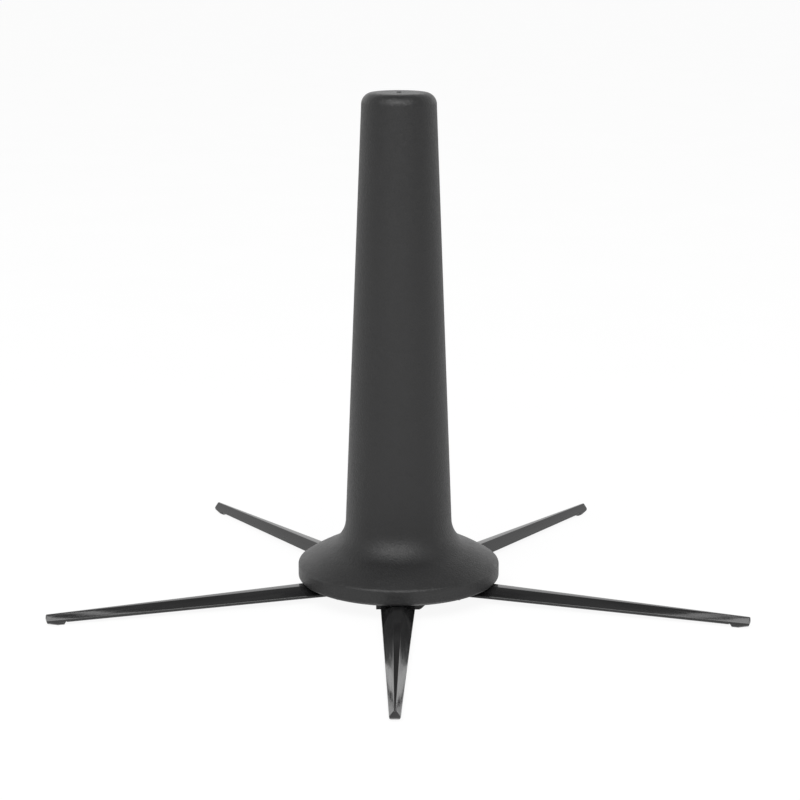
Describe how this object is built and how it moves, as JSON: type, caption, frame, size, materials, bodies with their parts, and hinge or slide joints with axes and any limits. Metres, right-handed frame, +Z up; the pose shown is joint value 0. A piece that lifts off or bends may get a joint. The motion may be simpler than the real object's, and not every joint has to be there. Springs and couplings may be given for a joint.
{
  "type": "folding instrument stand",
  "caption": "Folding stand for a flared wind instrument: a hollow tapered peg with a flared rim goes up into the bell, over slender hinged legs.",
  "frame": {"origin": "the peg's axis at floor level, on the plane of the feet", "axes": "+Z up the peg's axis; -Y along the front leg; +X to the right of it; the other legs are at 72 degree steps"},
  "size_m": [0.2222, 0.2113, 0.1639],
  "materials": {
    "peg_plastic": "fine-grained satin moulded plastic",
    "leg_black": "gloss black lacquer on a die-cast bar",
    "cast_black": "semi-gloss black lacquer on a casting",
    "collar_plastic": "matte moulded plastic",
    "pin_steel": "blackened steel",
    "screw_steel": "blackened steel"
  },
  "bodies": {
    "hub": {"hub_base": "cast_black", "hub_collar": "collar_plastic", "collar_screw": "screw_steel", "pin_front": "pin_steel", "pin_front_right": "pin_steel", "pin_back_right": "pin_steel", "pin_back_left": "pin_steel", "pin_front_left": "pin_steel"},
    "peg": {"peg_shell": "peg_plastic"},
    "leg_front": {"leg_front": "leg_black"},
    "leg_front_right": {"leg_front_right": "leg_black"},
    "leg_back_right": {"leg_back_right": "leg_black"},
    "leg_back_left": {"leg_back_left": "leg_black"},
    "leg_front_left": {"leg_front_left": "leg_black"}
  },
  "joints": [
    {"name": "peg_lift", "type": "slide", "parent": "hub", "child": "peg", "axis": [0, 0, 1], "range_m": [0, 0.13]},
    {"name": "fold_front", "type": "hinge", "parent": "hub", "child": "leg_front", "pos_m": [0, -0.015, 0.00345], "axis": [-1, 0, 0], "range_deg": [0, 97]},
    {"name": "fold_front_right", "type": "hinge", "parent": "hub", "child": "leg_front_right", "pos_m": [0.01427, -0.00464, 0.00345], "axis": [-0.309, -0.9511, 0], "range_deg": [0, 97]},
    {"name": "fold_back_right", "type": "hinge", "parent": "hub", "child": "leg_back_right", "pos_m": [0.00882, 0.01213, 0.00345], "axis": [0.809, -0.5878, 0], "range_deg": [0, 97]},
    {"name": "fold_back_left", "type": "hinge", "parent": "hub", "child": "leg_back_left", "pos_m": [-0.00882, 0.01213, 0.00345], "axis": [0.809, 0.5878, 0], "range_deg": [0, 97]},
    {"name": "fold_front_left", "type": "hinge", "parent": "hub", "child": "leg_front_left", "pos_m": [-0.01427, -0.00464, 0.00345], "axis": [-0.309, 0.9511, 0], "range_deg": [0, 97]}
  ],
  "couplings": [
    {"joint": "fold_front", "follows": "peg_lift", "rad_per_m": 13},
    {"joint": "fold_front_right", "follows": "peg_lift", "rad_per_m": 13},
    {"joint": "fold_back_right", "follows": "peg_lift", "rad_per_m": 13},
    {"joint": "fold_back_left", "follows": "peg_lift", "rad_per_m": 13},
    {"joint": "fold_front_left", "follows": "peg_lift", "rad_per_m": 13}
  ]
}
